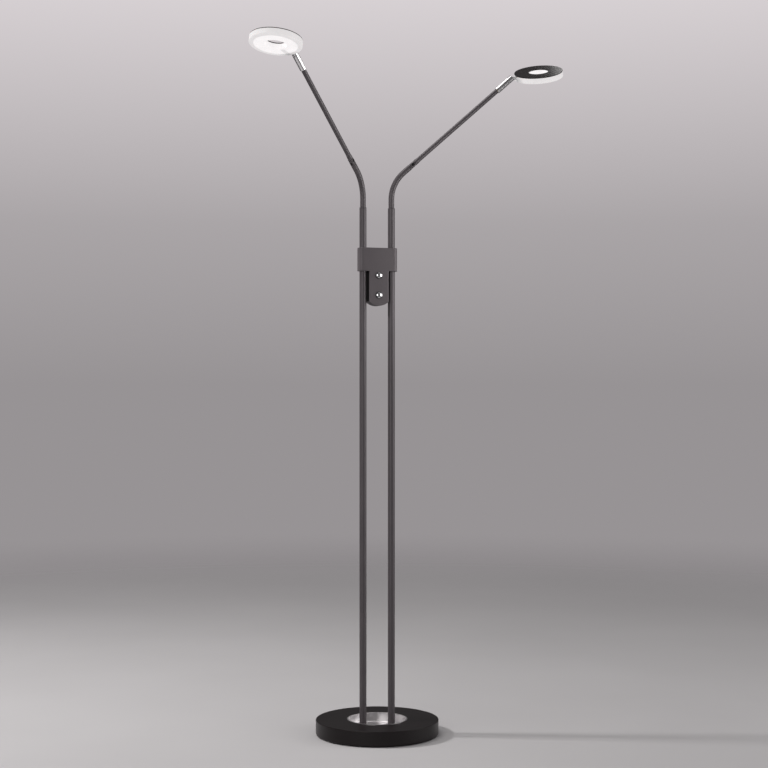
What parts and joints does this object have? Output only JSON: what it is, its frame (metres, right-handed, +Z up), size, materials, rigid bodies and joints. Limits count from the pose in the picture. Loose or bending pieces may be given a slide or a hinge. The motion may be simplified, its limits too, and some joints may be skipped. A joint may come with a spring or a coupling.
{
  "type": "two-arm floor reading lamp",
  "caption": "Floor lamp with twin upright poles on a round weighted base, two jointed swivelling arms and ring-shaped light heads, and a switch block with push buttons.",
  "frame": {"origin": "on the floor under the middle of the round base, midway between the poles' axes", "axes": "+Z up, +X from the left pole to the right pole, -Y the side with the push buttons"},
  "size_m": [0.7825, 0.4293, 1.5472],
  "materials": {
    "black_satin": "satin black powder coat",
    "cast_ballast": "as cast",
    "zinc_steel": "zinc plated",
    "felt": "black felt",
    "polished_liner": "spun and polished",
    "black_plastic": "matt black",
    "driver_case": "white moulded case",
    "lead_jacket": "soft jacket",
    "anthracite_coat": "fine textured anthracite powder coat",
    "block_coat": "fine textured anthracite powder coat",
    "circuit_board": "solder mask",
    "chrome_button": "polished chrome",
    "black_nylon": "nylon",
    "grey_nylon": "dark grey nylon",
    "black_hinge": "satin black",
    "black_screw": "blackened steel",
    "brass": "turned brass",
    "chrome": "polished chrome",
    "lit_acrylic": "satin acrylic, lit",
    "led_yellow": "phosphor"
  },
  "bodies": {
    "stand": {"base_cover": "black_satin", "base_weight": "cast_ballast", "base_plate": "zinc_steel", "base_felt": "felt", "base_screws": "zinc_steel", "pole_screws": "zinc_steel", "pole_plugs": "zinc_steel", "well_liner": "polished_liner", "cord_gland": "black_plastic", "led_driver": "driver_case", "pole_leads": "lead_jacket", "left_pole": "anthracite_coat", "right_pole": "anthracite_coat", "switch_block_front": "block_coat", "switch_block_rear": "block_coat", "block_screws": "zinc_steel", "dimmer_board": "circuit_board", "tact_switches": "black_plastic", "button_bezels": "black_plastic", "swivel_bushes": "grey_nylon"},
    "upper_button": {"button_upper": "chrome_button"},
    "lower_button": {"button_lower": "chrome_button"},
    "left_bend": {"left_bend_tube": "anthracite_coat", "left_bend_lead": "lead_jacket", "left_stop_pin": "zinc_steel", "left_knuckle_fork": "anthracite_coat", "left_knuckle_screw": "black_screw", "left_knuckle_nut": "black_screw", "left_friction_washers": "black_nylon"},
    "left_arm": {"left_knuckle_eye": "anthracite_coat", "left_arm_tube": "anthracite_coat", "left_arm_lead": "lead_jacket", "left_sleeve_spigot": "brass"},
    "left_sleeve": {"left_chrome_sleeve": "chrome", "left_head_pin": "chrome"},
    "left_head": {"left_head_tang": "chrome", "left_head_plate": "black_satin", "left_diffuser_ring": "lit_acrylic", "left_led_board": "circuit_board", "left_led_chips": "led_yellow", "left_head_screws": "zinc_steel"},
    "right_bend": {"right_bend_tube": "anthracite_coat", "right_bend_lead": "lead_jacket", "right_stop_pin": "zinc_steel", "right_knuckle_fork": "anthracite_coat", "right_knuckle_screw": "black_screw", "right_knuckle_nut": "black_screw", "right_friction_washers": "black_nylon"},
    "right_arm": {"right_knuckle_eye": "anthracite_coat", "right_arm_tube": "anthracite_coat", "right_arm_lead": "lead_jacket", "right_sleeve_spigot": "brass"},
    "right_sleeve": {"right_chrome_sleeve": "chrome", "right_head_pin": "chrome"},
    "right_head": {"right_head_tang": "chrome", "right_head_plate": "black_satin", "right_diffuser_ring": "lit_acrylic", "right_led_board": "circuit_board", "right_led_chips": "led_yellow", "right_head_screws": "zinc_steel"}
  },
  "joints": [
    {"name": "upper_button_press", "type": "slide", "parent": "stand", "child": "upper_button", "axis": [0, 1, 0], "range_m": [0, 0.0014], "stiffness_N_per_m": 1500, "springref_m": -0.0006},
    {"name": "lower_button_press", "type": "slide", "parent": "stand", "child": "lower_button", "axis": [0, 1, 0], "range_m": [0, 0.0014], "stiffness_N_per_m": 1500, "springref_m": -0.0006},
    {"name": "left_swivel", "type": "hinge", "parent": "stand", "child": "left_bend", "pos_m": [-0.034, 0, 1.2], "axis": [0, 0, 1], "range_deg": [-131, 49]},
    {"name": "left_knuckle", "type": "hinge", "parent": "left_bend", "child": "left_arm", "pos_m": [-0.07127, -0.0324, 1.30163], "axis": [0.6561, -0.7547, 0], "range_deg": [-60, 60]},
    {"name": "left_head_roll", "type": "hinge", "parent": "left_arm", "child": "left_sleeve", "pos_m": [-0.22513, -0.16615, 1.482], "axis": [-0.5652, -0.4914, 0.6626], "range_deg": [-161.8, 158.2]},
    {"name": "left_head_tilt", "type": "hinge", "parent": "left_sleeve", "child": "left_head", "pos_m": [-0.24197, -0.18079, 1.50174], "axis": [0.6714, -0.7407, 0.0235], "range_deg": [-119, 61]},
    {"name": "right_swivel", "type": "hinge", "parent": "stand", "child": "right_bend", "pos_m": [0.034, 0, 1.2], "axis": [0, 0, 1], "range_deg": [-77, 103]},
    {"name": "right_knuckle", "type": "hinge", "parent": "right_bend", "child": "right_arm", "pos_m": [0.08212, -0.01111, 1.30163], "axis": [0.225, 0.9744, 0], "range_deg": [-60, 60]},
    {"name": "right_head_roll", "type": "hinge", "parent": "right_arm", "child": "right_sleeve", "pos_m": [0.28076, -0.05697, 1.482], "axis": [0.7298, -0.1685, 0.6626], "range_deg": [-188.2, 131.8]},
    {"name": "right_head_tilt", "type": "hinge", "parent": "right_sleeve", "child": "right_head", "pos_m": [0.30251, -0.06199, 1.50174], "axis": [-0.1068, 0.9292, 0.3539], "range_deg": [-119.9, 60.1]}
  ]
}
